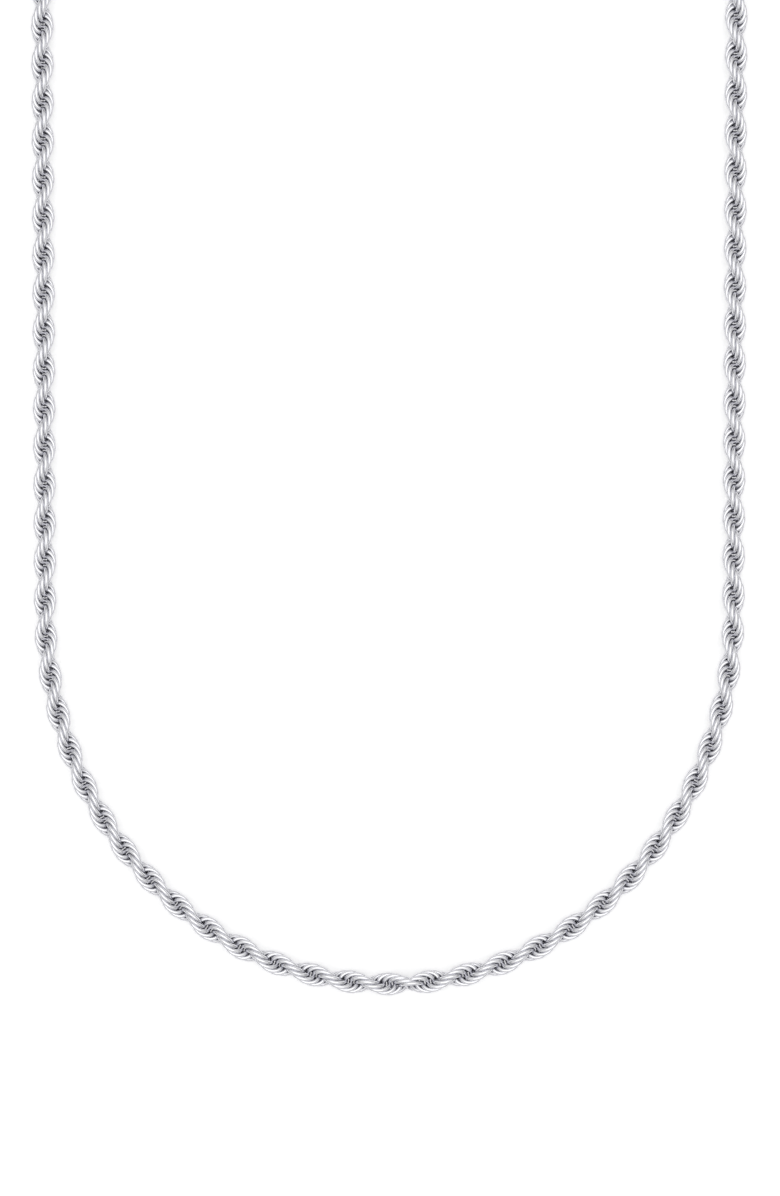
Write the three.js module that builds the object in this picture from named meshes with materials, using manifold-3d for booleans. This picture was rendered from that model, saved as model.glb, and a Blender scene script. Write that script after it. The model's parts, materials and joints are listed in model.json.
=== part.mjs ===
// A silver rope-chain necklace, laid out flat and unfastened, with a lobster clasp on one end and a catch
// ring on the other. Millimetres. +Z is up from the surface that the chain lies on, and +Y runs from the
// lowest link towards the two ends. The origin is at the middle of the underside of the whole necklace.
//
// The rope is a run of small closed rings, linked so tightly that they turn about the chain's axis like two
// twisted strands. Each section here is the outer shape of the rings over two half twists, and sections hinge
// where they meet. The twist changes hand at the first neck to the right of the lowest link.
import * as THREE from "three";
import { mergeVertices } from "three/addons/utils/BufferGeometryUtils.js";
import Module from "manifold-3d";

// Driving dimensions, in millimetres.
const CHAIN_WIDTH = 3.0; // across the rings, at the widest part of a lobe
const CHAIN_DEPTH = 1.9; // across the rings, at right angles to the widest part
const HALF_TWIST = 5.02; // along the chain, from one lobe to the next
const CLASP_SIDE_TIGHTER = 1.008; // how much tighter the clasp side is twisted than the ring side
const HALF_TWISTS_PER_SECTION = 2;
const TWIST_MIRROR = HALF_TWIST / 2; // from the lowest link to where the twist changes hand
const CLASP_SIDE_SECTIONS = 20;
const RING_SIDE_SECTIONS = 21;
const LOOP_HALF_WIDTH = 44.8; // from the necklace's middle line to the chain's axis
const LOOP_DROP = 48.5; // from the start of the straight arms down to the lowest link
const ARM_LENGTH = 160; // longer than either straight arm, so that both ends lie on it
const ARM_LEAN = 0.0047; // how far the arms spread, per millimetre of length
const FIT_GAP = 0.3; // between pieces that touch on the real necklace
const HINGE_GAP = 0.4; // between two sections of rope
const SHOULDER = 1.1; // from a hinge to where a section has its full width
const NOSE = [
  { inset: HINGE_GAP / 2, share: 0.3 },
  { inset: 0.55, share: 0.8 },
]; // distances from a hinge, and a section's width there as a share of the full one

const CAP_DIAMETER = 3.3;
const CAP_LENGTH = 5;
const CAP_BEAD_LENGTH = 0.7; // of the raised bead round the cap's mouth
const CAP_BEAD_STEP = 0.15; // from the bead in to the tube
const CAP_CHAMFER = 0.2;
const CAP_DOME_LENGTH = 1.3;
const CAP_TIP_RADIUS = 0.4;
const LOOP_WIRE = 0.6; // diameter of the wire of the caps' loops
const LOOP_MIDDLE_DIAMETER = 2.2; // of the caps' loops, at the middle of the wire
const JUMP_RING_WIRE = 0.6;
const JUMP_RING_MIDDLE_DIAMETER = 3.4;
const CATCH_RING_WIRE = 0.7;
const CATCH_RING_MIDDLE_DIAMETER = 4.2;
const RING_PLAY = 0.2; // slack between two linked rings
const LOOP_LIFT = 0.05; // of the clasp side's loop above the cap's axis
const CATCH_RING_PLAY = 0.15;

const CLASP_THICKNESS = 2.8;
const CLASP_HALF_WIDTH = 3.0;
const CLASP_TOP = 11.2; // from the middle of the eye to the front of the claw
const CLAW_HALF_WIDTH = 1.75; // of the opening inside the claw
const CLAW_HALF_LENGTH = 2.7;
const CLAW_MIDDLE = 7.2; // from the middle of the eye to the middle of the opening
const EYE_HOLE_RADIUS = 0.75;
const EYE_OUTER_RADIUS = 1.25;
const EYE_THICKNESS = 0.8;
const EYE_HEIGHT = 1.8; // of the eye's middle above the surface
const CLASP_EDGE = 0.35; // chamfer round the body
const CLASP_NECK_START = 0.9; // where the body starts, from the middle of the eye
const CLASP_NECK_HALF_WIDTH = 0.55;
const CLASP_WIDEST = 7.0; // where the body is widest, from the middle of the eye
const PIVOT = new THREE.Vector2(1.75, 4.1); // the lever's pin, from the middle of the eye
const PIN_DIAMETER = 0.6;
const PIN_LENGTH = 2.7;
const PIN_PLAY = 0.12; // all round the pin
const LEVER_THICKNESS = 0.8;
const LEVER_ROOT_RADIUS = 0.75;
const LEVER_WIDTH = 0.9;
const LEVER_TIP = 2.35; // from the clasp's middle line to the middle of the lever's tip
const THUMB_TAB = new THREE.Vector2(1.75, 0.15); // the middle of its round end, from the pin
const THUMB_TAB_RADIUS = 0.4;
const SLOT_WIDTH = 1.3; // in the clasp body, for the lever
const SLOT_DEPTH = 0.6; // how near the slot comes to the clasp's middle line
const SLOT_FROM = 2.9;
const MOUTH_FROM = 4.9; // where the claw's open side starts and ends
const MOUTH_TO = 7.6;
const SPRING_DIAMETER = 0.7;
const SPRING_LENGTH = 0.9;
const SPRING_MIDDLE = new THREE.Vector2(0.05, 3.95); // from the middle of the eye
const POCKET_PLAY = 0.2; // round the spring

const SECTION_LENGTH = HALF_TWISTS_PER_SECTION * HALF_TWIST;
const AXIS_HEIGHT = CHAIN_WIDTH / 2;
const SECTION_SIDES = 8;
const SECTION_STEPS = 8;
const RING_SEGMENTS = 18;
const WIRE_SIDES = 7;

const wasm = await Module();
wasm.setup();

const silver = (roughness) =>
  new THREE.MeshStandardMaterial({ color: 0xdcdce4, metalness: 1, roughness });

function namedMesh(name, geometry, material) {
  const mesh = new THREE.Mesh(geometry, material);
  mesh.name = name;
  return mesh;
}

// Joins and cuts: a geometry as a closed solid, and the solid as a geometry again.
function solidOf(geometry) {
  geometry.deleteAttribute("normal");
  geometry.deleteAttribute("uv");
  const merged = mergeVertices(geometry, 1e-4);
  return new wasm.Manifold(
    new wasm.Mesh({
      numProp: 3,
      vertProperties: merged.attributes.position.array,
      triVerts: new Uint32Array(merged.index.array),
    }),
  );
}

function geometryOf(solid) {
  const mesh = solid.getMesh();
  const geometry = new THREE.BufferGeometry();
  geometry.setAttribute("position", new THREE.BufferAttribute(mesh.vertProperties, 3));
  geometry.setIndex(new THREE.BufferAttribute(mesh.triVerts, 1));
  geometry.computeVertexNormals();
  return geometry;
}

// The right half of the chain's axis: a quarter of an ellipse, then a nearly straight arm.
const halfLine = new THREE.Path();
halfLine.absellipse(0, 0, LOOP_HALF_WIDTH, LOOP_DROP, -Math.PI / 2, 0, false);
halfLine.lineTo(LOOP_HALF_WIDTH + ARM_LEAN * ARM_LENGTH, ARM_LENGTH);
halfLine.curves[0].arcLengthDivisions = 2000;

// The axis at a signed distance from the lowest link, positive to the right: the point, the direction of
// travel and the horizontal direction across the chain.
function alongChain(distance) {
  const side = Math.sign(distance) || 1;
  const share = Math.abs(distance) / halfLine.getLength();
  const point = halfLine.getPoint(share);
  const heading = halfLine.getTangent(share);
  const along = new THREE.Vector3(heading.x, side * heading.y, 0).normalize();
  return {
    point: new THREE.Vector3(side * point.x, point.y, AXIS_HEIGHT),
    along,
    across: along.clone().cross(new THREE.Vector3(0, 0, 1)),
  };
}

// One section of rope, between two distances along the chain. A turned profile with blunt noses is flattened
// to the rope's depth, twisted, and bent onto the axis, relative to the section's own pivot.
function ropeSection(name, from, to, pivotDistance) {
  const halfWidth = CHAIN_WIDTH / 2;
  const profile = [new THREE.Vector2(0, from + HINGE_GAP / 2)];
  for (const { inset, share } of NOSE) profile.push(new THREE.Vector2(share * halfWidth, from + inset));
  for (let step = 0; step <= SECTION_STEPS; step++) {
    const distance = THREE.MathUtils.lerp(from + SHOULDER, to - SHOULDER, step / SECTION_STEPS);
    profile.push(new THREE.Vector2(halfWidth, distance));
  }
  for (const { inset, share } of NOSE.toReversed())
    profile.push(new THREE.Vector2(share * halfWidth, to - inset));
  profile.push(new THREE.Vector2(0, to - HINGE_GAP / 2));

  const geometry = new THREE.LatheGeometry(profile, SECTION_SIDES);
  const pivot = alongChain(pivotDistance).point;
  const position = geometry.attributes.position;
  const up = new THREE.Vector3(0, 0, 1);
  const vertex = new THREE.Vector3();
  for (let i = 0; i < position.count; i++) {
    vertex.fromBufferAttribute(position, i);
    const distance = vertex.y;
    const { point, across } = alongChain(distance);
    const tightness = distance < 0 ? CLASP_SIDE_TIGHTER : 1;
    const turn = (Math.PI * tightness * (Math.abs(distance - TWIST_MIRROR) - TWIST_MIRROR)) / HALF_TWIST;
    const wide = vertex.x;
    const deep = (vertex.z * CHAIN_DEPTH) / CHAIN_WIDTH;
    vertex
      .copy(point)
      .addScaledVector(across, wide * Math.cos(turn) - deep * Math.sin(turn))
      .addScaledVector(up, wide * Math.sin(turn) + deep * Math.cos(turn))
      .sub(pivot);
    position.setXYZ(i, vertex.x, vertex.y, vertex.z);
  }
  geometry.computeVertexNormals();
  const mesh = namedMesh(name, geometry, silver(0.18));
  mesh.position.copy(pivot);
  return mesh;
}

function ropeSections() {
  const group = new THREE.Group();
  group.add(ropeSection("rope_centre", -SECTION_LENGTH / 2, SECTION_LENGTH / 2, 0));
  for (const [label, side, count] of [
    ["rope_clasp_side", -1, CLASP_SIDE_SECTIONS],
    ["rope_ring_side", 1, RING_SIDE_SECTIONS],
  ])
    for (let number = 1; number <= count; number++) {
      const near = side * (number - 0.5) * SECTION_LENGTH;
      const far = side * (number + 0.5) * SECTION_LENGTH;
      const name = label + "_" + String(number).padStart(2, "0");
      group.add(ropeSection(name, Math.min(near, far), Math.max(near, far), near));
    }
  return group;
}

// A frame at one end of the rope: local +Y runs on along the chain, and local z = 0 is the surface.
function endFrame(distance) {
  const { point, along } = alongChain(distance);
  const frame = new THREE.Group();
  frame.position.set(point.x, point.y, 0);
  frame.rotation.z = Math.atan2(Math.sign(distance) * along.y, Math.sign(distance) * along.x) - Math.PI / 2;
  return frame;
}

// A turned tube cap with a bead round its mouth and a domed end.
function endCap(name) {
  const radius = CAP_DIAMETER / 2;
  const tube = radius - CAP_BEAD_STEP;
  const domeStart = CAP_LENGTH - CAP_DOME_LENGTH;
  const outline = [
    [0, 0],
    [radius - CAP_CHAMFER, 0],
    [radius, CAP_CHAMFER],
    [radius, CAP_BEAD_LENGTH],
    [tube, CAP_BEAD_LENGTH + CAP_CHAMFER],
    [tube, domeStart],
    [0.78 * tube, domeStart + 0.73 * CAP_DOME_LENGTH],
    [CAP_TIP_RADIUS, CAP_LENGTH],
    [0, CAP_LENGTH],
  ];
  const geometry = new THREE.LatheGeometry(
    outline.map(([r, y]) => new THREE.Vector2(r, y)),
    14,
  );
  const mesh = namedMesh(name, geometry, silver(0.12));
  mesh.position.set(0, FIT_GAP, radius);
  return mesh;
}

function wireRing(name, middleDiameter, wire) {
  const geometry = new THREE.TorusGeometry(middleDiameter / 2, wire / 2, WIRE_SIDES, RING_SEGMENTS);
  return namedMesh(name, geometry, silver(0.12));
}

const loopCentre = CAP_LENGTH + 2 * FIT_GAP + (LOOP_MIDDLE_DIAMETER + LOOP_WIRE) / 2;
const loopFarWire = loopCentre + LOOP_MIDDLE_DIAMETER / 2;

// The lever's slot, the spring's pocket, the pin's bore and the claw's open side, cut from one body.
function claspBody() {
  const flare = [new THREE.Vector2(1.0, 3.0), new THREE.Vector2(CLASP_HALF_WIDTH, 3.2)]; // neck to body
  const frontLength = CLASP_TOP - CLASP_WIDEST;
  const outline = new THREE.Shape();
  outline.moveTo(CLASP_NECK_HALF_WIDTH, CLASP_NECK_START);
  outline.bezierCurveTo(flare[0].x, flare[0].y, flare[1].x, flare[1].y, CLASP_HALF_WIDTH, CLASP_WIDEST);
  outline.absellipse(0, CLASP_WIDEST, CLASP_HALF_WIDTH, frontLength, 0, Math.PI, false);
  outline.bezierCurveTo(
    -flare[1].x,
    flare[1].y,
    -flare[0].x,
    flare[0].y,
    -CLASP_NECK_HALF_WIDTH,
    CLASP_NECK_START,
  );
  const opening = new THREE.Path();
  opening.absellipse(0, CLAW_MIDDLE, CLAW_HALF_WIDTH, CLAW_HALF_LENGTH, 0, 2 * Math.PI, true);
  outline.holes.push(opening);
  const plate = new THREE.ExtrudeGeometry(outline, {
    depth: CLASP_THICKNESS - 2 * CLASP_EDGE,
    bevelSize: CLASP_EDGE,
    bevelOffset: -CLASP_EDGE,
    bevelThickness: CLASP_EDGE,
    bevelSegments: 1,
    curveSegments: 8,
  });
  plate.translate(0, 0, CLASP_EDGE);

  const eyeOutline = new THREE.Shape();
  eyeOutline.absarc(0, 0, EYE_OUTER_RADIUS, 0, 2 * Math.PI, false);
  const eyeHole = new THREE.Path();
  eyeHole.absarc(0, 0, EYE_HOLE_RADIUS, 0, 2 * Math.PI, true);
  eyeOutline.holes.push(eyeHole);
  const eye = new THREE.ExtrudeGeometry(eyeOutline, {
    depth: EYE_THICKNESS,
    bevelEnabled: false,
    curveSegments: 8,
  });
  eye.translate(0, 0, EYE_HEIGHT - EYE_THICKNESS / 2);

  const box = (x0, x1, y0, y1, height) => {
    const geometry = new THREE.BoxGeometry(x1 - x0, y1 - y0, height);
    return geometry.translate((x0 + x1) / 2, (y0 + y1) / 2, CLASP_THICKNESS / 2);
  };
  const outside = CLASP_HALF_WIDTH + 1;
  const throughout = CLASP_THICKNESS + 1;
  const slot = box(SLOT_DEPTH, outside, SLOT_FROM, MOUTH_FROM + 0.1, SLOT_WIDTH);
  const pocketHalf = SPRING_DIAMETER / 2 + POCKET_PLAY;
  const springPocket = box(
    SPRING_MIDDLE.x - SPRING_LENGTH / 2 - 0.1,
    SLOT_DEPTH + 0.1,
    SPRING_MIDDLE.y - pocketHalf,
    SPRING_MIDDLE.y + pocketHalf,
    SLOT_WIDTH,
  );
  const mouth = box(CLAW_HALF_WIDTH / 2, outside, MOUTH_FROM, MOUTH_TO, throughout);
  const boreRadius = PIN_DIAMETER / 2 + PIN_PLAY;
  const bore = new THREE.CylinderGeometry(boreRadius, boreRadius, throughout, 12);
  bore.rotateX(Math.PI / 2);
  bore.translate(PIVOT.x, PIVOT.y, CLASP_THICKNESS / 2);

  const body = solidOf(plate)
    .add(solidOf(eye))
    .subtract(solidOf(slot))
    .subtract(solidOf(springPocket))
    .subtract(solidOf(mouth))
    .subtract(solidOf(bore));
  return namedMesh("clasp_body", geometryOf(body), silver(0.12));
}

// The sprung gate: a root round the pin, an arm up to the claw's tip, and a thumb tab outside.
function claspLever() {
  const tip = new THREE.Vector2(LEVER_TIP, MOUTH_TO - FIT_GAP).sub(PIVOT);
  const half = LEVER_WIDTH / 2;
  const outline = new THREE.Shape();
  outline.absarc(0, 0, LEVER_ROOT_RADIUS, 0.75 * Math.PI, 1.6 * Math.PI, false);
  outline.absarc(THUMB_TAB.x, THUMB_TAB.y, THUMB_TAB_RADIUS, -Math.PI / 2, Math.PI / 2, false);
  outline.lineTo(LEVER_ROOT_RADIUS + 0.1, LEVER_ROOT_RADIUS);
  outline.lineTo(tip.x + half, tip.y);
  outline.lineTo(tip.x - half, tip.y);
  const pinHole = new THREE.Path();
  pinHole.absarc(0, 0, PIN_DIAMETER / 2 + PIN_PLAY, 0, 2 * Math.PI, true);
  outline.holes.push(pinHole);
  const geometry = new THREE.ExtrudeGeometry(outline, {
    depth: LEVER_THICKNESS,
    bevelEnabled: false,
    curveSegments: 6,
  });
  geometry.translate(0, 0, -LEVER_THICKNESS / 2);
  const mesh = namedMesh("clasp_lever", geometry, silver(0.12));
  mesh.position.set(PIVOT.x, PIVOT.y, CLASP_THICKNESS / 2);
  return mesh;
}

function claspPin() {
  const radius = PIN_DIAMETER / 2;
  const geometry = new THREE.CylinderGeometry(radius, radius, PIN_LENGTH, 12);
  geometry.rotateX(Math.PI / 2);
  const mesh = namedMesh("clasp_pin", geometry, silver(0.2));
  mesh.position.set(PIVOT.x, PIVOT.y, CLASP_THICKNESS / 2);
  return mesh;
}

// The lever's return spring: the outer shape of the coil, which lies across the clasp behind the lever.
function claspSpring() {
  const radius = SPRING_DIAMETER / 2;
  const geometry = new THREE.CylinderGeometry(radius, radius, SPRING_LENGTH, 10);
  geometry.rotateZ(Math.PI / 2);
  const steel = new THREE.MeshStandardMaterial({ color: 0x9a9ca2, metalness: 1, roughness: 0.35 });
  const mesh = namedMesh("clasp_spring", geometry, steel);
  mesh.position.set(SPRING_MIDDLE.x, SPRING_MIDDLE.y, CLASP_THICKNESS / 2);
  return mesh;
}

// Clasp side: the cap's loop lies flat, the jump ring stands through it, and the clasp's eye lies flat again.
function claspEnd() {
  const frame = endFrame(-(CLASP_SIDE_SECTIONS + 0.5) * SECTION_LENGTH);
  frame.add(endCap("clasp_side_cap"));

  const loop = wireRing("clasp_side_loop", LOOP_MIDDLE_DIAMETER, LOOP_WIRE);
  loop.position.set(0, loopCentre, CAP_DIAMETER / 2 + LOOP_LIFT);
  frame.add(loop);

  const ringNearWire = loopFarWire - LOOP_WIRE / 2 - RING_PLAY - JUMP_RING_WIRE / 2;
  const ringRadius = JUMP_RING_MIDDLE_DIAMETER / 2;
  const jumpRing = wireRing("jump_ring", JUMP_RING_MIDDLE_DIAMETER, JUMP_RING_WIRE);
  jumpRing.rotation.y = Math.PI / 2;
  jumpRing.position.set(0, ringNearWire + ringRadius, ringRadius + JUMP_RING_WIRE / 2);
  frame.add(jumpRing);

  const ringFarWire = ringNearWire + JUMP_RING_MIDDLE_DIAMETER;
  const clasp = new THREE.Group();
  const nearWall = ringFarWire - JUMP_RING_WIRE / 2 - FIT_GAP;
  clasp.position.set(0, nearWall + EYE_HOLE_RADIUS, 0);
  clasp.add(claspBody(), claspLever(), claspPin(), claspSpring());
  frame.add(clasp);
  return frame;
}

// Ring side: the cap's loop stands, and the catch ring goes through it and rests its far edge on the surface.
function ringEnd() {
  const frame = endFrame((RING_SIDE_SECTIONS + 0.5) * SECTION_LENGTH);
  frame.add(endCap("ring_side_cap"));

  const loop = wireRing("ring_side_loop", LOOP_MIDDLE_DIAMETER, LOOP_WIRE);
  loop.rotation.y = Math.PI / 2;
  loop.position.set(0, loopCentre, CAP_DIAMETER / 2);
  frame.add(loop);

  const ringRadius = CATCH_RING_MIDDLE_DIAMETER / 2;
  const nearWire = loopFarWire - (LOOP_WIRE + CATCH_RING_WIRE) / 2 - CATCH_RING_PLAY;
  const fall = CAP_DIAMETER / 2 - CATCH_RING_WIRE / 2;
  const tilt = Math.asin(fall / CATCH_RING_MIDDLE_DIAMETER);
  const hanging = new THREE.Group();
  hanging.position.set(0, nearWire, CAP_DIAMETER / 2);
  hanging.rotation.x = -tilt;
  const catchRing = wireRing("catch_ring", CATCH_RING_MIDDLE_DIAMETER, CATCH_RING_WIRE);
  catchRing.position.set(0, ringRadius, 0);
  hanging.add(catchRing);
  frame.add(hanging);
  return frame;
}

const pieces = new THREE.Group();
pieces.add(ropeSections(), claspEnd(), ringEnd());
const extent = new THREE.Box3().setFromObject(pieces, true);
const middle = extent.getCenter(new THREE.Vector3());
pieces.position.set(-middle.x, -middle.y, -extent.min.z);

const necklace = new THREE.Group();
necklace.name = "chain_necklace";
necklace.add(pieces);

export default necklace;
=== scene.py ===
"""A polished silver rope-chain necklace, laid out on a white surface and seen from straight above."""

import json
import math

import bpy
import numpy as np
from mathutils import Matrix, Vector

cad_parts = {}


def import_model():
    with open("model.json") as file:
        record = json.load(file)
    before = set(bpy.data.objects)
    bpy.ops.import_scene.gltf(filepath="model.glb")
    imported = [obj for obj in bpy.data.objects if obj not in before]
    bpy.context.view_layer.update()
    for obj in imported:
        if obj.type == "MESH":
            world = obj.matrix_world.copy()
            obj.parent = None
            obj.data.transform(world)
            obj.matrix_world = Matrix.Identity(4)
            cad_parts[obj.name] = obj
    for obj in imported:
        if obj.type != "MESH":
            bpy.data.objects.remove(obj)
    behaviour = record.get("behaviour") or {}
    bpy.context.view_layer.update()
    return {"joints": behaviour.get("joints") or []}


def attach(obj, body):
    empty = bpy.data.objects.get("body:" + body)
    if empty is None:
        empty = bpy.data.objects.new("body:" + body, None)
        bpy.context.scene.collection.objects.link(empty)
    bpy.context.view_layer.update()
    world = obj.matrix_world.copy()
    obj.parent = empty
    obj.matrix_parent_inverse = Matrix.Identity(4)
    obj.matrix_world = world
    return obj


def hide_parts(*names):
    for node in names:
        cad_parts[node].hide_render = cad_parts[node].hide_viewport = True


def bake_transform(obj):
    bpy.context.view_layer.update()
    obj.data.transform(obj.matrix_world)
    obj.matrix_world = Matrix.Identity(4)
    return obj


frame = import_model()

# Driving dimensions, in metres, as the CAD model has them.
MM = 0.001
CHAIN_WIDTH = 3.0 * MM
HALF_TWIST = 5.02 * MM
CLASP_SIDE_TIGHTER = 1.008  # how much tighter the clasp side is twisted than the ring side
SECTION = 2 * HALF_TWIST
LOOP_HALF_WIDTH = 44.8 * MM  # of the half ellipse at the bottom
LOOP_DROP = 48.5 * MM
ARM_LENGTH = 160 * MM
ARM_LEAN = 0.0047  # outwards, as a share of the length
AXIS_HEIGHT = CHAIN_WIDTH / 2
SECTIONS = {"clasp": 20, "ring": 21}  # on each side of the lowest link
SIGN = {"clasp": -1, "ring": 1}  # of the distance from the lowest link
END_SECTIONS = 0.6  # of rings past the middle of the last section, to end inside the cap

# The rings of the rope.
RINGS_PER_HALF_TWIST = 7
RING_PITCH = HALF_TWIST / RINGS_PER_HALF_TWIST
WIRE = 0.54 * MM
RING_RADIUS = (CHAIN_WIDTH - WIRE) / 2
RING_STRETCH = 1.2  # length along the chain over width across it
RING_STEPS = 48  # points round a ring
WIRE_STEPS = 12  # points round its wire
TWIST_MIRROR = HALF_TWIST / 2  # from the lowest link to where the twist changes hand
SEAM_STEP = 0.2 * MM  # the rings next to that place pass beside each other by twice this
SEAM_REACH = 1.5 * MM

# The end fittings, in millimetres, in a frame at the end of the rope: y runs on along the chain, and z = 0 is
# the surface. Rings have their radius to the middle of the wire.
CAP_RADIUS = 1.65
CAP_FROM = 0.3
CAP_TO = 5.3
CAP_WALL = 0.13
CAP_ROUNDING = 0.12
BEAD_LENGTH = 0.7  # of the thick band round the cap's mouth
BEAD_STEP = 0.15
CUP_DEPTH = 1.6  # from the mouth to the floor inside
CUP_CORNER = 0.1
DOME_LENGTH = 1.3
DOME = ((0.93, 0.45), (0.72, 0.9), (0.42, 1.2))  # share of the tube's radius, and how far past the foot
LINE_STEP = 0.08  # of the raised line below the dome
LINE_FROM = 0.35
LINE_TO = 0.1
LINE_NECK = 0.02  # the groove between the line and the dome
AXIS = 0.01  # as near to its axis as a spun outline goes
SOLDER_RADIUS = 0.34  # of the drop of solder between a cap and its loop
SOLDER_FOOT = 5.35
SOLDER_TIP = 5.72
SOLDER_REACH = 0.7  # along a ring's wire, in wires
LOOP_MIDDLE = 7.0
LOOP_LIFT = 0.05  # of the clasp side's loop above the middle of its cap
LOOP_RADIUS = 1.1
LOOP_WIRE = 0.6
LOOP_SWELLING = 0.35  # of the wire where it is soldered, as a share
JUMP_RING_MIDDLE = 9.0
JUMP_RING_RADIUS = 1.7
JUMP_RING_WIRE = 0.6
JUMP_RING_CUT = 0.03  # radians of it left open
JUMP_RING_JOINT = math.radians(70)
CATCH_RING_NEAR = 7.3
CATCH_RING_RADIUS = 2.1
CATCH_RING_WIRE = 0.7
CATCH_RING_SWELLING = 0.06
CATCH_RING_JOINT = math.radians(130)
EYE_MIDDLE = 10.85

# The clasp, in millimetres from the middle of its eye: y runs on to its front, and x to the lever's side.
CLASP_THICKNESS = 2.8
CLASP_HALF_WIDTH = 3.0
CLASP_WIDEST = 7.0
CLASP_TOP = 11.2
CLASP_ROUNDING = 0.58
CLASP_EDGE = 0.05  # the bevel on its cut edges
WELD = 0.001  # points nearer than this become one
NECK = (0.75, 0.9)  # where the body's outline starts, and the two points that steer it to its side
NECK_FLARE = (1.05, 3.0)
SHOULDER = (CLASP_HALF_WIDTH, 3.2)
CLAW_HALF_WIDTH = 1.75  # of the opening
CLAW_HALF_LENGTH = 2.7
CLAW_MIDDLE = 7.2
CASTING_FACE = 0.1  # the size of its faces
CASTING_SOFTNESS = 6  # rounds of smoothing
THICKEST = 4.1  # along the clasp
THINNER = {"neck": 0.45, "front": 0.25, "sides": 0.1}  # by these shares of the thickness
EYE_HEIGHT = 1.8
EYE_RADIUS = 1.0  # to the middle of its wall
EYE_WALL = 0.5
EYE_THICKNESS = 0.8
EYE_ROUNDING = 0.22
MOUTH = (4.9, 7.6)  # from and to, along the clasp
SLOT_CORNER = (0.6, 2.9)  # of the slot that the lever sits in
SLOT_WIDTH = 1.3
SLOT_OVERLAP = 0.1  # into the mouth
POCKET = ((-0.5, 0.7), (3.4, 4.5))  # for the spring, from and to in x and in y
PIVOT = (1.75, 4.1)
PIN_RADIUS = 0.3
PIN_LENGTH = 2.7
PIN_DOME = 0.14
PIN_PLAY = 0.05  # in the body
LEVER_THICKNESS = 1.0
LEVER_ROUNDING = 0.09
LEVER_PLAY = 0.03  # round the pin
LEVER_ROOT = 0.75  # the radius round the pin
LEVER_TIP_X = 2.35
LEVER_TIP_RADII = (0.45, 0.3)
LEVER_TIP_GAP = 0.08  # to the claw's tip
SPRING_MIDDLE = (0.05, 3.95)
SPRING_RADIUS = 0.35
SPRING_LENGTH = 0.9
SPRING_WIRE = 0.1
SPRING_TURNS = 6

# The lever's thumb tab, from the middle of the pin.
TAB_END = (1.75, 0.15)
TAB_RADIUS = 0.4
TAB_GRIPS = [(1.5, 0.5), (1.42, 0.56), (1.34, 0.5), (1.26, 0.56), (1.18, 0.62)]
TAB_CROOK = (0.85, 0.8)

# The picture: the surface, the sky and the camera. The sky is pairs of the sine of an elevation and a grey.
FLOOR_SIZE = 40.0
FLOOR_DROP = 0.02 * MM  # below the necklace
FLOOR_GREY = 0.75
FLOOR_GLOW = 0.42
FLOOR_ROUGHNESS = 0.6
SKY = ((0.0, 0.5), (0.15, 0.35), (0.35, 0.45), (0.55, 0.85), (0.8, 0.85), (0.9, 1.4))
VIEW_HEIGHT = 155.7 * MM
BELOW_CHAIN = 27.6 * MM
RIGHT_OF_CHAIN = 0.09 * MM
LENS = 120.0
SENSOR = 36.0


# ---------------------------------------------------------------- the line of the chain


def half_line(count=4000):
    """The right half of the axis as points, and the distance along it of each point."""
    angle = np.linspace(0, math.pi / 2, count)
    bend = np.stack([LOOP_HALF_WIDTH * np.sin(angle), -LOOP_DROP * np.cos(angle)], 1)
    arm = np.array([[LOOP_HALF_WIDTH + ARM_LEAN * ARM_LENGTH, ARM_LENGTH]])
    points = np.concatenate([bend, arm])
    steps = np.linalg.norm(np.diff(points, axis=0), axis=1)
    return points, np.concatenate([[0], np.cumsum(steps)])


LINE, LINE_DISTANCE = half_line()


def along_chain(distance):
    """Points, headings and across directions in the plane, for signed distances from the lowest link."""
    distance = np.asarray(distance, float)
    side = np.where(distance < 0, -1.0, 1.0)
    nudge = 0.02 * MM

    def at(far):
        return np.stack([np.interp(far, LINE_DISTANCE, LINE[:, k]) for k in (0, 1)], -1)

    here = at(np.abs(distance))
    heading = at(np.abs(distance) + nudge) - at(np.maximum(np.abs(distance) - nudge, 0))
    heading /= np.linalg.norm(heading, axis=-1, keepdims=True)
    point = np.stack([side * here[..., 0], here[..., 1]], -1)
    heading = np.stack([heading[..., 0], side * heading[..., 1]], -1)
    across = np.stack([heading[..., 1], -heading[..., 0]], -1)
    return point, heading, across


def cad_shift():
    """From the line's own origin to the frame's: the ring side's first hinge is half a section along."""
    pivot = next(j for j in frame["joints"] if j["child"] == "ring_side_01")["pos_m"]
    point, _, _ = along_chain(SECTION / 2)
    return np.array([pivot[0] - point[0], pivot[1] - point[1], pivot[2]])


SHIFT = cad_shift()


def chain_points(distance, wide, high):
    """Frame points at a distance along the chain, wide across it and high above its axis."""
    point, _, across = along_chain(distance)
    flat = point + across * np.asarray(wide)[..., None]
    height = np.broadcast_to(np.asarray(high, float), flat.shape[:-1])
    return np.concatenate([flat, height[..., None]], -1) + SHIFT


def end_frame(side):
    """The frame at one end of the rope, from millimetres to metres."""
    point, heading, _ = along_chain(SIGN[side] * (SECTIONS[side] + 0.5) * SECTION)
    outward = SIGN[side] * heading
    angle = math.atan2(outward[1], outward[0]) - math.pi / 2
    place = Matrix.Translation((SHIFT[0] + point[0], SHIFT[1] + point[1], SHIFT[2] - AXIS_HEIGHT))
    return place @ Matrix.Rotation(angle, 4, "Z") @ Matrix.Scale(MM, 4)


# ---------------------------------------------------------------- materials


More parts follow.
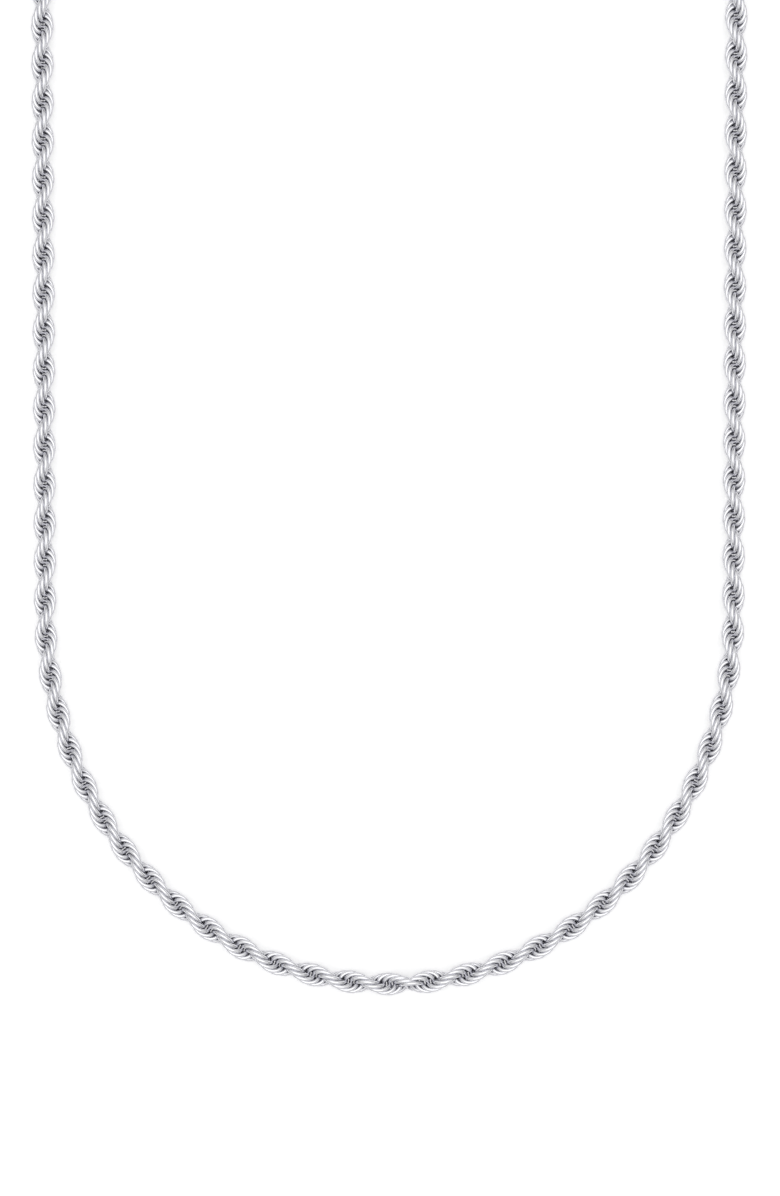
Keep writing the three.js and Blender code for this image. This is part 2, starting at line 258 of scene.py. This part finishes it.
def metal(name, tint, rim, painted_shade, rough, scratch):
    """Polished metal: a faintly wavy surface, with clouds and fine scratches in its gloss. Its base colour
    has painted shade deep inside the rope, where the recess is high: it turns to the darker painted shade
    colour there."""
    material = bpy.data.materials.new(name)
    material.use_nodes = True
    tree = material.node_tree
    shader = tree.nodes["Principled BSDF"]
    shader.inputs["Metallic"].default_value = 1.0
    shader.inputs["Specular Tint"].default_value = (*rim, 1)

    def node(kind, **inputs):
        made = tree.nodes.new(kind)
        for key, value in inputs.items():
            made.inputs[key.replace("_", " ")].default_value = value
        return made

    def link(source, target):
        tree.links.new(source, target)

    where = node("ShaderNodeTexCoord")
    clouds = node("ShaderNodeTexNoise", Scale=450.0, Detail=3.0, Roughness=0.55)
    hairs = node("ShaderNodeTexNoise", Scale=1500.0, Detail=4.0, Roughness=0.7, Distortion=1.5)
    stretch = node("ShaderNodeMapping", Rotation=(0.4, 0.3, 0.6), Scale=(1.0, 9.0, 3.0))
    link(where.outputs["Object"], clouds.inputs["Vector"])
    link(where.outputs["Object"], stretch.inputs["Vector"])
    link(stretch.outputs["Vector"], hairs.inputs["Vector"])

    # Painted shade: the base colour darkens from the tint to the shade colour as the recess rises, for the
    # shade between the wires.
    recess = node("ShaderNodeAttribute")
    recess.attribute_name = "recess"
    ramp = node("ShaderNodeValToRGB")
    ramp.color_ramp.elements[0].position = 0.4
    ramp.color_ramp.elements[0].color = (*tint, 1)
    ramp.color_ramp.elements[1].position = 0.7
    ramp.color_ramp.elements[1].color = (*painted_shade, 1)
    link(recess.outputs["Fac"], ramp.inputs["Fac"])
    shade = node("ShaderNodeMapRange", To_Min=0.94, To_Max=1.0)
    link(clouds.outputs["Fac"], shade.inputs["Value"])
    tone = node("ShaderNodeVectorMath")
    tone.operation = "SCALE"
    link(ramp.outputs["Color"], tone.inputs[0])
    link(shade.outputs["Result"], tone.inputs["Scale"])
    link(tone.outputs["Vector"], shader.inputs["Base Color"])

    patches = node("ShaderNodeMapRange", From_Min=0.3, From_Max=0.7, To_Min=0.7 * rough, To_Max=1.3 * rough)
    link(clouds.outputs["Fac"], patches.inputs["Value"])
    worn = node("ShaderNodeMapRange", From_Min=0.5, From_Max=0.75, To_Min=0.0, To_Max=scratch * rough)
    link(hairs.outputs["Fac"], worn.inputs["Value"])
    gloss = node("ShaderNodeMath")
    link(patches.outputs["Result"], gloss.inputs[0])
    link(worn.outputs["Result"], gloss.inputs[1])
    link(gloss.outputs["Value"], shader.inputs["Roughness"])

    waves = node("ShaderNodeBump", Strength=0.5, Distance=0.03 * MM)
    link(clouds.outputs["Fac"], waves.inputs["Height"])
    scratches = node("ShaderNodeBump", Strength=scratch, Distance=0.004 * MM)
    link(hairs.outputs["Fac"], scratches.inputs["Height"])
    link(waves.outputs["Normal"], scratches.inputs["Normal"])
    link(scratches.outputs["Normal"], shader.inputs["Normal"])
    return material


# Each metal's third colour is painted shade, for deep inside the rope where the wires shade each other.
SILVER = (0.88, 0.88, 0.91)
SILVER_RIM = (0.35, 0.35, 0.4)
SILVER_PAINTED_SHADE = (0.68, 0.68, 0.71)
STEEL = (0.62, 0.63, 0.65)
STEEL_RIM = (0.4, 0.4, 0.4)
STEEL_PAINTED_SHADE = (0.3, 0.3, 0.3)

CHAIN_SILVER = metal("chain_silver", SILVER, SILVER_RIM, SILVER_PAINTED_SHADE, rough=0.11, scratch=0.3)
FINDING_SILVER = metal("finding_silver", SILVER, SILVER_RIM, SILVER_PAINTED_SHADE, rough=0.12, scratch=0.4)
SPRING_STEEL = metal("spring_steel", STEEL, STEEL_RIM, STEEL_PAINTED_SHADE, rough=0.22, scratch=0.5)


# ---------------------------------------------------------------- mesh helpers


def mesh_object(name, points, faces, material):
    mesh = bpy.data.meshes.new(name)
    faces = faces.tolist() if isinstance(faces, np.ndarray) else faces
    mesh.from_pydata(np.asarray(points).tolist(), [], faces)
    mesh.shade_smooth()
    mesh.materials.append(material)
    return linked(name, mesh)


def linked(name, data):
    thing = bpy.data.objects.new(name, data)
    bpy.context.scene.collection.objects.link(thing)
    return thing


def grid_faces(rows, columns, close_rows=True):
    """Quads over a rows by columns grid of points that closes round its columns and, if asked, its rows."""
    i, j = np.meshgrid(np.arange(rows if close_rows else rows - 1), np.arange(columns), indexing="ij")
    i2, j2 = (i + 1) % rows, (j + 1) % columns
    quads = [i * columns + j, i2 * columns + j, i2 * columns + j2, i * columns + j2]
    return np.stack(quads, -1).reshape(-1, 4)


def end_faces(rows, columns):
    """Two faces that close the first and the last row of a grid that isn't closed round its rows."""
    last = (rows - 1) * columns
    return [list(range(columns)), [last + k for k in reversed(range(columns))]]


def finish_piece(thing, body, node):
    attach(thing, body)
    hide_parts(node)


# ---------------------------------------------------------------- the rope


def ring_points(number):
    """Points of rings, numbered from the lowest link: frame points, and their distance from the axis."""
    number = number[:, None, None]
    tightness = np.where(number < 0, CLASP_SIDE_TIGHTER, 1.0)
    ring = np.linspace(0, 2 * math.pi, RING_STEPS, endpoint=False)[None, :, None]
    wire = np.linspace(0, 2 * math.pi, WIRE_STEPS, endpoint=False)[None, None, :]
    centre = number * RING_PITCH / tightness
    past_mirror = centre - TWIST_MIRROR
    turn = math.pi * tightness * (np.abs(past_mirror) - TWIST_MIRROR) / HALF_TWIST
    step = SEAM_STEP * np.sign(past_mirror) * np.exp(-((past_mirror / SEAM_REACH) ** 2))
    wide = (RING_RADIUS + WIRE / 2 * np.cos(wire)) * np.cos(ring)
    along = (RING_RADIUS * RING_STRETCH + WIRE / 2 * np.cos(wire)) * np.sin(ring)
    off = WIRE / 2 * np.sin(wire) + step
    flat = wide * np.cos(turn) - off * np.sin(turn)
    high = wide * np.sin(turn) + off * np.cos(turn)
    return chain_points(centre + along + 0 * flat, flat, high), np.hypot(flat, high)


def rope_piece(name, start, stop):
    """All the rings whose centres lie from start up to stop along the chain, as one piece."""
    pitch = RING_PITCH if start >= 0 else RING_PITCH / CLASP_SIDE_TIGHTER
    numbers = np.arange(round(start / pitch), round(stop / pitch))
    points, distance = ring_points(numbers)
    starts = np.arange(len(numbers))[:, None, None] * RING_STEPS * WIRE_STEPS
    faces = (grid_faces(RING_STEPS, WIRE_STEPS)[None] + starts).reshape(-1, 4)
    piece = mesh_object(name, points.reshape(-1, 3), faces, CHAIN_SILVER)
    # How deep inside the rope each point lies: the material paints shade where this is high.
    recess = piece.data.attributes.new("recess", "FLOAT", "POINT")
    recess.data.foreach_set("value", (1 - distance / (CHAIN_WIDTH / 2)).ravel().astype(np.float32))
    return piece


def section_body(side, number):
    """The body of a section, counted from the lowest link on."""
    return f"{side}_side_{number:02d}" if number else "rope_centre"


def rope():
    """Pieces of rope from the middle of one section to the middle of the next, and an end piece fixed to each
    side's last section.
    """
    for side, count in SECTIONS.items():
        for number in range(1, count + 1):
            near, far = (SIGN[side] * k * SECTION for k in (number - 1, number))
            piece = rope_piece(f"rope_{side}_side_links_{number:02d}", min(near, far), max(near, far))
            start, stop = (chain_points(distance, 0.0, 0.0) for distance in (near, far))
            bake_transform(piece)
            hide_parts(f"rope_{side}_side_{number:02d}")
            if number == 1:
                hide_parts("rope_centre")
        near, far = (SIGN[side] * k * SECTION for k in (count, count + END_SECTIONS))
        end = rope_piece(f"rope_{side}_side_end_links", min(near, far), max(near, far))
        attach(end, section_body(side, count))


rope()


# ---------------------------------------------------------------- caps and rings


def placed(name, matrix, shape, material):
    """A shape, which is points and faces in a frame of its own, put in its place."""
    points, faces = shape
    return mesh_object(name, [matrix @ Vector(p) for p in points], faces, material)


def spun(profile, segments=96):
    """A closed (radius, y) outline turned about the y axis."""
    profile = np.array(profile, float)
    angle = np.linspace(0, 2 * math.pi, segments, endpoint=False)[:, None]
    x = profile[:, 0] * np.sin(angle)
    z = profile[:, 0] * np.cos(angle)
    points = np.stack([x, profile[:, 1] + 0 * x, z], -1).reshape(-1, 3)
    return points, grid_faces(segments, len(profile))


def rounded(corners, radius, steps=5):
    """The outline with each corner replaced by a short curve, which takes less than half of each side."""
    corners = np.array(corners, float)
    made = []
    for before, corner, after in zip(np.roll(corners, 1, 0), corners, np.roll(corners, -1, 0)):
        sides = [np.linalg.norm(neighbour - corner) for neighbour in (before, after)]
        reach = [min(radius, 0.45 * side) for side in sides]
        start = corner + (before - corner) / sides[0] * reach[0]
        stop = corner + (after - corner) / sides[1] * reach[1]
        for share in np.linspace(0, 1, steps):
            made.append((1 - share) ** 2 * start + 2 * share * (1 - share) * corner + share**2 * stop)
    return made


def end_cap(side, frame_matrix):
    """A spun tube cap: hollow, a band round its mouth, a line below its dome, and solder out to its loop."""
    tube = CAP_RADIUS - BEAD_STEP
    bore = CAP_RADIUS - CAP_WALL
    dome = CAP_TO - DOME_LENGTH
    outline = [
        (bore, CAP_FROM),
        (CAP_RADIUS, CAP_FROM),
        (CAP_RADIUS, CAP_FROM + BEAD_LENGTH),
        (tube, CAP_FROM + BEAD_LENGTH + LINE_STEP),
        (tube, dome - LINE_FROM),
        (tube + LINE_STEP, dome - LINE_FROM + LINE_STEP),
        (tube + LINE_STEP, dome - LINE_TO),
        (tube - LINE_NECK, dome),
        *((share * tube, dome + along) for share, along in DOME),
        (SOLDER_RADIUS, SOLDER_FOOT),
        (SOLDER_RADIUS, SOLDER_TIP),
        (AXIS, SOLDER_TIP),
        (AXIS, CAP_FROM + CUP_DEPTH),
        (bore - CUP_CORNER, CAP_FROM + CUP_DEPTH - CUP_CORNER),
    ]
    place = frame_matrix @ Matrix.Translation((0, 0, CAP_RADIUS))
    cap = placed(f"{side}_side_cap_spun", place, spun(rounded(outline, CAP_ROUNDING)), FINDING_SILVER)
    finish_piece(cap, section_body(side, SECTIONS[side]), f"{side}_side_cap")


def wire_ring(radius, wire, swelling=0.0, cut=0.0, steps=128, sides=20):
    """A ring of round wire in the xy plane. Its joint, at -y, has solder that swells it, or an open cut."""
    ring = np.linspace(cut / 2, 2 * math.pi - cut / 2, steps, endpoint=cut > 0)[:, None]
    round_wire = np.linspace(0, 2 * math.pi, sides, endpoint=False)[None, :]
    from_joint = np.minimum(ring, 2 * math.pi - ring) * radius
    half = wire / 2 * (1 + swelling * np.exp(-((from_joint / (SOLDER_REACH * wire)) ** 2)))
    reach = radius + half * np.cos(round_wire)
    points = np.stack([reach * np.sin(ring), -reach * np.cos(ring), half * np.sin(round_wire)], -1)
    faces = grid_faces(steps, sides, close_rows=cut == 0).tolist()
    if cut:
        faces += end_faces(steps, sides)
    return points.reshape(-1, 3), faces


def ring_piece(name, matrix, body, node, shape):
    finish_piece(placed(name, matrix, shape, FINDING_SILVER), body, node)


def findings():
    """The fittings at both ends of the rope, except the clasp."""
    standing = Matrix.Rotation(math.pi / 2, 4, "Y")
    clasp_end, ring_end = end_frame("clasp"), end_frame("ring")
    for side, matrix in (("clasp", clasp_end), ("ring", ring_end)):
        end_cap(side, matrix)
    ring_piece(
        "clasp_side_loop_wire",
        clasp_end @ Matrix.Translation((0, LOOP_MIDDLE, CAP_RADIUS + LOOP_LIFT)),
        section_body("clasp", SECTIONS["clasp"]),
        "clasp_side_loop",
        wire_ring(LOOP_RADIUS, LOOP_WIRE, swelling=LOOP_SWELLING),
    )
    ring_piece(
        "ring_side_loop_wire",
        ring_end @ Matrix.Translation((0, LOOP_MIDDLE, CAP_RADIUS)) @ standing,
        section_body("ring", SECTIONS["ring"]),
        "ring_side_loop",
        wire_ring(LOOP_RADIUS, LOOP_WIRE, swelling=LOOP_SWELLING),
    )
    ring_piece(
        "jump_ring_wire",
        clasp_end
        @ Matrix.Translation((0, JUMP_RING_MIDDLE, JUMP_RING_RADIUS + JUMP_RING_WIRE / 2))
        @ standing
        @ Matrix.Rotation(JUMP_RING_JOINT, 4, "Z"),
        "jump_ring",
        "jump_ring",
        wire_ring(JUMP_RING_RADIUS, JUMP_RING_WIRE, cut=JUMP_RING_CUT),
    )
    fall = math.asin((CAP_RADIUS - CATCH_RING_WIRE / 2) / (2 * CATCH_RING_RADIUS))
    ring_piece(
        "catch_ring_wire",
        ring_end
        @ Matrix.Translation((0, CATCH_RING_NEAR, CAP_RADIUS))
        @ Matrix.Rotation(-fall, 4, "X")
        @ Matrix.Translation((0, CATCH_RING_RADIUS, 0))
        @ Matrix.Rotation(CATCH_RING_JOINT, 4, "Z"),
        "catch_ring",
        "catch_ring",
        wire_ring(CATCH_RING_RADIUS, CATCH_RING_WIRE, swelling=CATCH_RING_SWELLING),
    )


findings()


# ---------------------------------------------------------------- the clasp


def arc(middle, radii, start, stop, steps=24):
    """Points on an ellipse from one angle to another, in degrees."""
    angle = np.radians(np.linspace(start, stop, steps))
    return [(middle[0] + radii[0] * math.cos(a), middle[1] + radii[1] * math.sin(a)) for a in angle]


def circle(middle, radii, steps):
    """The whole ellipse, without its first point again at the end."""
    return arc(middle, radii, 0, 360 - 360 / steps, steps)


def plate(outlines, thickness, rounding, height):
    """A flat plate with rounded edges. Its first outline is its outside and the others are holes."""
    curve = bpy.data.curves.new("plate", "CURVE")
    curve.dimensions = "2D"
    curve.fill_mode = "BOTH"
    curve.extrude = thickness / 2 - rounding
    curve.bevel_depth = rounding
    curve.bevel_resolution = 5
    curve.offset = -rounding
    for outline in outlines:
        spline = curve.splines.new("POLY")
        spline.points.add(len(outline) - 1)
        for point, (x, y) in zip(spline.points, outline):
            point.co = (x, y, 0, 1)
        spline.use_cyclic_u = True
    thing = linked("plate", curve)
    mesh = evaluated_mesh(thing)
    bpy.data.objects.remove(thing)
    mesh.transform(Matrix.Translation((0, 0, height)))
    solid = linked("plate", mesh)
    weld(solid)
    return solid


def evaluated_mesh(thing):
    bpy.context.view_layer.update()
    return bpy.data.meshes.new_from_object(thing.evaluated_get(bpy.context.evaluated_depsgraph_get()))


def apply_modifiers(thing):
    mesh = evaluated_mesh(thing)
    thing.modifiers.clear()
    thing.data = mesh


def weld(thing):
    thing.modifiers.new("weld", "WELD").merge_threshold = WELD
    apply_modifiers(thing)


def block(x, y, z):
    """A cutter between two values along each axis."""
    corners = [(i, j, k) for i in x for j in y for k in z]
    faces = [(0, 1, 3, 2), (4, 6, 7, 5), (0, 4, 5, 1), (2, 3, 7, 6), (0, 2, 6, 4), (1, 5, 7, 3)]
    return mesh_object("cutter", corners, faces, FINDING_SILVER)


def post(x, y, radius, z, segments=32):
    """A round upright cutter between two heights."""
    angle = np.linspace(0, 2 * math.pi, segments, endpoint=False)
    rows = [np.stack([x + radius * np.cos(angle), y + radius * np.sin(angle), 0 * angle + h], -1) for h in z]
    inwards = grid_faces(2, segments, close_rows=False).tolist() + end_faces(2, segments)
    return mesh_object("cutter", np.concatenate(rows), [face[::-1] for face in inwards], FINDING_SILVER)


def combine(thing, other, operation):
    modifier = thing.modifiers.new("combine", "BOOLEAN")
    modifier.operation = operation
    modifier.solver = "EXACT"
    modifier.object = other
    apply_modifiers(thing)
    bpy.data.objects.remove(other)


def into_place(thing, name, matrix, body, node):
    """Moves a finished silver shape from its own millimetre frame into the necklace's."""
    thing.name = name
    thing.data.name = name
    thing.data.transform(matrix)
    thing.data.materials.clear()
    thing.data.materials.append(FINDING_SILVER)
    finish_piece(thing, body, node)


def claw_outline():
    """The body's right side, a Bezier curve from the neck, then its front, and its left side back again."""
    t = np.linspace(0, 1, 24)[:, None]
    neck, flare, shoulder = np.array(NECK), np.array(NECK_FLARE), np.array(SHOULDER)
    side = np.array((CLASP_HALF_WIDTH, CLASP_WIDEST))
    curve = (1 - t) ** 3 * neck + 3 * t * (1 - t) ** 2 * flare + 3 * t**2 * (1 - t) * shoulder + t**3 * side
    front = arc((0, CLASP_WIDEST), (CLASP_HALF_WIDTH, CLASP_TOP - CLASP_WIDEST), 3, 177, 48)
    right = [tuple(point) for point in curve]
    return right + front + [(-x, y) for x, y in reversed(right)]


def cast(thing):
    """Turns a flat plate into a casting: soft edges, and thinner towards the neck, the front and sides."""
    remesh = thing.modifiers.new("faces", "REMESH")
    remesh.mode = "VOXEL"
    remesh.voxel_size = CASTING_FACE
    soft = thing.modifiers.new("soft", "SMOOTH")
    soft.iterations = CASTING_SOFTNESS
    apply_modifiers(thing)
    middle = CLASP_THICKNESS / 2
    for vertex in thing.data.vertices:
        x, y, z = vertex.co
        if y > THICKEST:
            thinner = THINNER["front"] * ((y - THICKEST) / (CLASP_TOP - THICKEST)) ** 2
        else:
            thinner = THINNER["neck"] * ((THICKEST - y) / THICKEST) ** 2
        thinner += THINNER["sides"] * (x / CLASP_HALF_WIDTH) ** 2
        vertex.co.z = middle + (z - middle) * (1 - thinner)


def clasp_body(matrix):
    """The cast body: claw and eye in one, with a slot for the lever, a pocket for its spring and a bore."""
    opening = circle((0, CLAW_MIDDLE), (CLAW_HALF_WIDTH, CLAW_HALF_LENGTH), 60)
    middle = CLASP_THICKNESS / 2
    body = plate([claw_outline(), opening], CLASP_THICKNESS, CLASP_ROUNDING, middle)
    cast(body)
    eye = [circle((0, 0), (EYE_RADIUS + half_wall,) * 2, 48) for half_wall in (EYE_WALL / 2, -EYE_WALL / 2)]
    combine(body, plate(eye, EYE_THICKNESS, EYE_ROUNDING, EYE_HEIGHT), "UNION")
    outside = CLASP_HALF_WIDTH + 1
    through = (-1, CLASP_THICKNESS + 1)
    slot = (middle - SLOT_WIDTH / 2, middle + SLOT_WIDTH / 2)
    lever_slot = block((SLOT_CORNER[0], outside), (SLOT_CORNER[1], MOUTH[0] + SLOT_OVERLAP), slot)
    combine(body, lever_slot, "DIFFERENCE")
    combine(body, block(*POCKET, slot), "DIFFERENCE")
    combine(body, block((CLAW_HALF_WIDTH / 2, outside), MOUTH, through), "DIFFERENCE")
    combine(body, post(*PIVOT, PIN_RADIUS + PIN_PLAY, through), "DIFFERENCE")
    edges = body.modifiers.new("edges", "BEVEL")
    edges.width, edges.segments, edges.limit_method = CLASP_EDGE, 2, "ANGLE"
    edges.angle_limit = math.radians(50)
    weld(body)
    body.data.set_sharp_from_angle(angle=math.radians(40))
    into_place(body, "clasp_body_cast", matrix, "clasp", "clasp_body")


def clasp_lever(matrix):
    """The sprung gate: a root round the pin, an arm up to the claw's tip, and a thumb tab with two grips."""
    tip = (LEVER_TIP_X - PIVOT[0], MOUTH[1] - LEVER_TIP_GAP - PIVOT[1] - LEVER_TIP_RADII[1])
    outline = arc((0, 0), (LEVER_ROOT,) * 2, 135, 288, 24)
    outline += arc(TAB_END, (TAB_RADIUS,) * 2, -90, 90, 16)
    outline += [*TAB_GRIPS, TAB_CROOK]
    outline += arc(tip, LEVER_TIP_RADII, 0, 180, 16)
    hole = circle((0, 0), (PIN_RADIUS + LEVER_PLAY,) * 2, 30)
    lever = plate([outline, hole], LEVER_THICKNESS, LEVER_ROUNDING, 0)
    lever.data.set_sharp_from_angle(angle=math.radians(50))
    place = matrix @ Matrix.Translation((*PIVOT, CLASP_THICKNESS / 2))
    into_place(lever, "clasp_lever_formed", place, "clasp_lever", "clasp_lever")


def clasp_pin(matrix):
    """The rivet: a post whose two ends are peened into low domes."""
    foot = PIN_LENGTH / 2 - PIN_DOME
    angles = np.linspace(0, 1.55, 8)  # not quite to the axis
    dome = [(PIN_RADIUS * math.cos(a), foot + PIN_DOME * math.sin(a)) for a in angles]
    outline = dome + [(r, -y) for r, y in reversed(dome)]
    upright = Matrix.Rotation(math.pi / 2, 4, "X")
    place = matrix @ Matrix.Translation((*PIVOT, CLASP_THICKNESS / 2)) @ upright
    pin = placed("clasp_pin_rivet", place, spun(outline, 40), FINDING_SILVER)
    finish_piece(pin, "clasp", "clasp_pin")


def clasp_spring(matrix, steps_per_turn=28, sides=8):
    """The coil behind the lever, with its axis across the clasp."""
    steps = SPRING_TURNS * steps_per_turn
    coil = np.linspace(0, 2 * math.pi * SPRING_TURNS, steps)[:, None]
    wire = np.linspace(0, 2 * math.pi, sides, endpoint=False)[None, :]
    half = SPRING_WIRE / 2
    radius = SPRING_RADIUS - half + half * np.cos(wire)
    x = (coil / coil.max() - 0.5) * (SPRING_LENGTH - SPRING_WIRE) + half * np.sin(wire)
    points = np.stack([x, radius * np.cos(coil), radius * np.sin(coil)], -1).reshape(-1, 3)
    faces = grid_faces(steps, sides, close_rows=False).tolist() + end_faces(steps, sides)
    place = matrix @ Matrix.Translation((*SPRING_MIDDLE, CLASP_THICKNESS / 2))
    piece = placed("clasp_spring_coil", place, (points, faces), SPRING_STEEL)
    finish_piece(piece, "clasp", "clasp_spring")


def clasp():
    matrix = end_frame("clasp") @ Matrix.Translation((0, EYE_MIDDLE, 0))
    clasp_body(matrix)
    clasp_lever(matrix)
    clasp_pin(matrix)
    clasp_spring(matrix)


clasp()


# ---------------------------------------------------------------- floor, light and camera


def floor():
    """A wide surface just under the necklace, near white."""
    bpy.ops.mesh.primitive_plane_add(size=FLOOR_SIZE, location=(0, 0, -FLOOR_DROP))
    plane = bpy.context.object
    plane.name = "floor"
    material = bpy.data.materials.new("white_surface")
    material.use_nodes = True
    shader = material.node_tree.nodes["Principled BSDF"]
    shader.inputs["Base Color"].default_value = (FLOOR_GREY, FLOOR_GREY, FLOOR_GREY, 1)
    shader.inputs["Roughness"].default_value = FLOOR_ROUGHNESS
    shader.inputs["Emission Color"].default_value = (1, 1, 1, 1)
    shader.inputs["Emission Strength"].default_value = FLOOR_GLOW
    plane.data.materials.append(material)


def world():
    """A sky of greys, brightest overhead. It is the only light but for the floor's own glow."""
    made = bpy.data.worlds.new("studio")
    made.use_nodes = True
    nodes, links = made.node_tree.nodes, made.node_tree.links
    background = nodes["Background"]
    where = nodes.new("ShaderNodeTexCoord")
    split = nodes.new("ShaderNodeSeparateXYZ")
    ramp = nodes.new("ShaderNodeValToRGB")
    links.new(where.outputs["Generated"], split.inputs[0])
    links.new(split.outputs["Z"], ramp.inputs["Fac"])
    elements = ramp.color_ramp.elements
    elements.remove(elements[1])
    for height, grey in SKY:
        element = elements[0] if height == 0 else elements.new(height)
        element.color = (grey, grey, grey, 1)
    links.new(ramp.outputs["Color"], background.inputs["Color"])
    background.inputs["Strength"].default_value = 1.0
    bpy.context.scene.world = made


def camera():
    """Looks straight down. The frame's height is measured at the chain's axis."""
    data = bpy.data.cameras.new("camera")
    data.lens = LENS
    data.sensor_width = SENSOR
    data.clip_start, data.clip_end = 0.01, 2 * FLOOR_SIZE
    thing = linked("camera", data)
    lowest = chain_points(0.0, 0.0, 0.0)
    distance = VIEW_HEIGHT * LENS / SENSOR
    from_bottom = VIEW_HEIGHT / 2 - BELOW_CHAIN
    thing.location = (SHIFT[0] + RIGHT_OF_CHAIN, lowest[1] + from_bottom, lowest[2] + distance)
    bpy.context.scene.camera = thing


floor()
world()
camera()
bpy.context.scene.view_settings.view_transform = "Standard"
